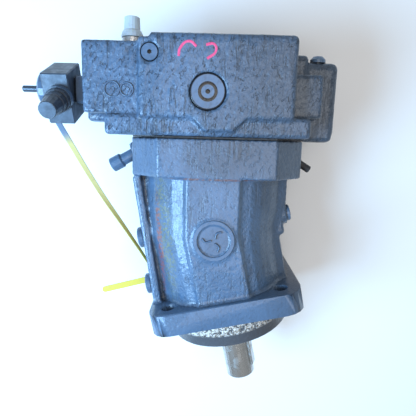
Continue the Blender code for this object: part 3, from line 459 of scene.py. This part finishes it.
def piece_from(name, bm, look, smooth=30):
    """Make an object of a bmesh."""
    bmesh.ops.recalc_face_normals(bm, faces=bm.faces)
    mesh = bpy.data.meshes.new(name)
    bm.to_mesh(mesh)
    bm.free()
    mesh.materials.append(look)
    mesh.shade_smooth()
    mesh.set_sharp_from_angle(angle=math.radians(smooth))
    made = bpy.data.objects.new(name, mesh)
    bpy.context.collection.objects.link(made)
    return made


def weigh_normals(piece):
    """Shade flat faces as flat right up to their rounded edges."""
    weigh = piece.modifiers.new("weighted", "WEIGHTED_NORMAL")
    weigh.keep_sharp = True
    weigh.weight = 100


def welded(node):
    """A CAD node's mesh as a bmesh with its points merged."""
    bm = bmesh.new()
    bm.from_mesh(NODES[node].data)
    bmesh.ops.remove_doubles(bm, verts=bm.verts, dist=1e-6)
    return bm


def sliced(bm, at, normal):
    """Keep the side of a plane that its normal points away from, and close the cut."""
    geometry = bm.verts[:] + bm.edges[:] + bm.faces[:]
    cut = bmesh.ops.bisect_plane(bm, geom=geometry, plane_co=at, plane_no=normal, clear_outer=True)
    edges = [e for e in cut["geom_cut"] if isinstance(e, bmesh.types.BMEdge)]
    bmesh.ops.triangle_fill(bm, edges=edges, use_beauty=True)
    return bm


def cast_skin(name, bm, look, waves):
    """Remesh a casting, round its edges, and give its outside the gentle waves of a sand casting."""
    rough = piece_from(name + "_rough", bm, look)
    remesh = rough.modifiers.new("remesh", "REMESH")
    remesh.mode = "VOXEL"
    remesh.voxel_size = VOXEL
    soften = rough.modifiers.new("soften", "SMOOTH")
    soften.factor = 0.5
    soften.iterations = 3
    graph = bpy.context.evaluated_depsgraph_get()
    mesh = bpy.data.meshes.new_from_object(rough.evaluated_get(graph))
    cad = BVHTree.FromObject(rough, graph, deform=False)
    bpy.data.objects.remove(rough)
    mesh.name = name
    normals = [v.normal.copy() for v in mesh.vertices]
    for vertex, normal in zip(mesh.vertices, normals):
        place = vertex.co
        if inside_bore(cad, place, normal):
            near, facing, _, _ = cad.find_nearest(place)
            vertex.co = near - facing * BORE_RELIEF
        else:
            wave = noise.noise(place / 0.016) + 0.5 * noise.noise(place / 0.006)
            vertex.co = place + normal * (wave * waves)
    mesh.materials.clear()
    mesh.materials.append(look)
    mesh.shade_smooth()
    made = bpy.data.objects.new(name, mesh)
    bpy.context.collection.objects.link(made)
    return made


def inside_bore(cad, place, normal):
    """Whether a wall point faces another wall of the same casting."""
    hit = cad.ray_cast(place + normal * 0.004, normal, 0.150)
    return hit[0] is not None


def make_castings():
    """Housing and port plate as cast skins; the flange keeps its machined shape."""
    flange = sliced(welded("housing"), (0, FLANGE_BACK + 0.0003, 0), (0, 1, 0))
    flange = piece_from("flange", flange, flange_paint())
    weigh_normals(flange)
    casting = sliced(welded("housing"), (0, FLANGE_BACK - 0.0010, 0), (0, -1, 0))
    casting = cast_skin("housing_casting", casting, housing_paint(), HOUSING_WAVES)
    ride(flange, "blue_paint", "housing")
    ride(casting, "blue_paint", "housing")
    plate = cast_skin("plate_casting", welded("port_plate"), plate_paint(), PLATE_WAVES)
    ride(plate, "blue_paint", "port_plate")


def lathe(name, profile, place, look):
    """Turn a profile of (radius, height) into a closed piece standing on a face."""
    bm = bmesh.new()
    steps = 56
    rings = []
    for radius, height in profile:
        count = steps if radius else 1
        rings.append([bm.verts.new((radius * math.cos(math.tau * i / steps),
                                    radius * math.sin(math.tau * i / steps), height)) for i in range(count)])
    for near, far in zip(rings, rings[1:]):
        for i in range(steps):
            j = (i + 1) % steps
            corners = (near[i % len(near)], near[j % len(near)], far[j % len(far)], far[i % len(far)])
            bm.faces.new(list(dict.fromkeys(corners)))
    bmesh.ops.transform(bm, matrix=place, verts=bm.verts)
    return ride(piece_from(name, bm, look, 35), "blue_paint")


def ring_mark(name, place, radius, width, height, look):
    """A low raised ring standing on a face, its section a half round."""
    bm = bmesh.new()
    steps = 40
    section = 6
    for i in range(steps):
        turn = math.tau * i / steps
        for j in range(section + 1):
            lean = math.pi * j / section
            out = radius + math.cos(lean) * width / 2
            up = math.sin(lean) * height
            if j in (0, section):
                up = -height
            bm.verts.new((out * math.cos(turn), out * math.sin(turn), up))
    bm.verts.ensure_lookup_table()
    row = section + 1
    for i in range(steps):
        for j in range(row):
            here, there = i * row, ((i + 1) % steps) * row
            k = (j + 1) % row
            bm.faces.new([bm.verts[here + j], bm.verts[there + j], bm.verts[there + k], bm.verts[here + k]])
    bmesh.ops.transform(bm, matrix=place, verts=bm.verts)
    return ride(piece_from(name, bm, look, 50), "blue_paint")


def stroke(name, points, place, width, look, slot, height):
    """A low rounded stroke along points on a face."""
    curve = bpy.data.curves.new(name, "CURVE")
    curve.dimensions = "3D"
    curve.bevel_depth = width / 2
    curve.bevel_resolution = 3
    curve.use_fill_caps = True
    curve.resolution_u = 8
    spline = curve.splines.new("BEZIER")
    spline.bezier_points.add(len(points) - 1)
    for knot, spot in zip(spline.bezier_points, points):
        knot.co = (*spot, 0)
        knot.handle_left_type = knot.handle_right_type = "AUTO"
    drawn = bpy.data.objects.new(name, curve)
    bpy.context.collection.objects.link(drawn)
    graph = bpy.context.evaluated_depsgraph_get()
    bm = bmesh.new()
    bm.from_mesh(drawn.evaluated_get(graph).to_mesh())
    bpy.data.objects.remove(drawn)
    bmesh.ops.remove_doubles(bm, verts=bm.verts, dist=1e-5)
    flat = Matrix.Diagonal((1, 1, height / (width / 2), 1))
    bmesh.ops.transform(bm, matrix=place @ flat, verts=bm.verts)
    return ride(piece_from(name, bm, look, 60), slot)


def make_marks():
    """Cast rings on the left block, the round emblem on the front panel, and the marker strokes."""
    paint = small_paint()
    plate_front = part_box("port_plate")[1][2]
    curl = [(-0.0030, -0.0010), (-0.0005, 0.0022), (0.0024, 0.0004), (0.0010, -0.0028)]
    for number, (across, out, radius) in enumerate(CAST_RINGS):
        place = PLATE @ Matrix.Translation((across, out, plate_front - LEFT_BLOCK_DROP))
        ring_mark(f"cast_ring_{number + 1}", place, radius, 0.0018, 0.0013, paint)
        stroke(f"cast_curl_{number + 1}", curl, place, 0.0013, paint, "blue_paint", 0.0008)
    panel = Matrix.Translation(EMBLEM_SPOT)
    lathe("emblem_disc", EMBLEM, panel, paint)
    blade = [(0.0030, 0.0010), (0.0085, 0.0052), (0.0135, 0.0030)]
    for number in range(3):
        turn = Matrix.Rotation(math.radians(25 + 120 * number), 4, "Z")
        stroke(f"emblem_blade_{number + 1}", blade, panel @ turn, 0.0026, paint, "blue_paint", 0.0026)
    front = PLATE @ Matrix.Translation((0, 0, plate_front))
    pink = pink_marker()
    for number, points in enumerate(MARKER_STROKES):
        stroke(f"marker_stroke_{number + 1}", points, front, MARKER_WIDTH, pink, "yellow_plastic",
               MARKER_HEIGHT)


def make_stage():
    """Pale floor, a bluish light from the left, a soft one from above, and a dim even sky."""
    bm = bmesh.new()
    bmesh.ops.create_grid(bm, x_segments=2, y_segments=2, size=6)
    bmesh.ops.translate(bm, vec=(0, 0, FLOOR_Z), verts=bm.verts)
    floor_look = Look("floor", roughness=0.9)
    floor_look.colour((0.86, 0.86, 0.86))
    piece_from("floor", bm, floor_look.material)
    world = bpy.data.worlds.new("world")
    world.use_nodes = True
    background = world.node_tree.nodes["Background"]
    background.inputs["Color"].default_value = (0.90, 0.95, 1.0, 1)
    background.inputs["Strength"].default_value = 0.38
    bpy.context.scene.world = world
    for name, spot, aim, size, power, colour in (
            ("key", (-0.80, 0.05, 0.80), (-0.05, 0.15, 0.05), 0.6, 27, (0.39, 0.68, 1.0)),
            ("top", (0.25, 0.10, 1.30), (0, 0.15, 0), 1.0, 8, (1.0, 0.97, 0.94))):
        data = bpy.data.lights.new(name, "AREA")
        data.size = size
        data.energy = power
        data.color = colour
        light = bpy.data.objects.new(name, data)
        light.location = spot
        light.rotation_euler = (Vector(spot) - Vector(aim)).to_track_quat("Z", "Y").to_euler()
        bpy.context.collection.objects.link(light)
    bpy.context.scene.view_settings.view_transform = "Standard"


def dress_nodes():
    """Materials for the CAD nodes that show as they are."""
    dress(small_paint(), "small_plug", "flank_plug_1", "flank_plug_2", "flank_plug_3", "stop_cover",
          "valve_adapter", "left_stub", "vent_screw", "spring_housing")
    dress(plug_paint(), "front_plug")
    dress(steel("shaft_steel", (0.60, 0.61, 0.60), (0.25, 0.24, 0.23), 0.24, axis=(1, 9, 1)), "drive_shaft",
          "shaft_key")
    dress(steel("fitting_steel", (0.55, 0.56, 0.57), (0.28, 0.27, 0.26), 0.30), "port_fitting")
    dress(steel("inner_steel", (0.56, 0.56, 0.55), (0.35, 0.34, 0.33), 0.25), "rear_bearing_cup",
          "rear_bearing_cone", "rear_bearing_rollers", "front_bearing_cup", "front_bearing_cone",
          "front_bearing_rollers", "cylinder_barrel", "centre_pin", "centre_spring", "stroking_piston",
          "positioning_pin", "control_spool", "adjusting_screw", "spool_spring",
          *(f"piston_{i + 1}" for i in range(7)))
    black = steel("black_steel", (0.060, 0.080, 0.110), (0.030, 0.038, 0.050), 0.34, 0.4, (9, 9, 9))
    dress(black, "plate_screw_1", "plate_screw_2", "plate_screw_3", "plate_screw_4", "left_bore_plug",
          "right_bore_plug", "seal_retaining_ring", "valve_locknut", "valve_cap", "stroke_stop_screw")
    dress(slate(), "valve_block")
    dress(bronze(), "retaining_plate", "control_lens")
    dress(rubber(), "shaft_seal", "plate_gasket", "right_stub")
    dress(white_plastic(), "transport_cap")
    dress(strap_plastic(), "tie_strap", "strap_tag")


make_camera()
make_castings()
make_marks()
dress_nodes()
make_stage()
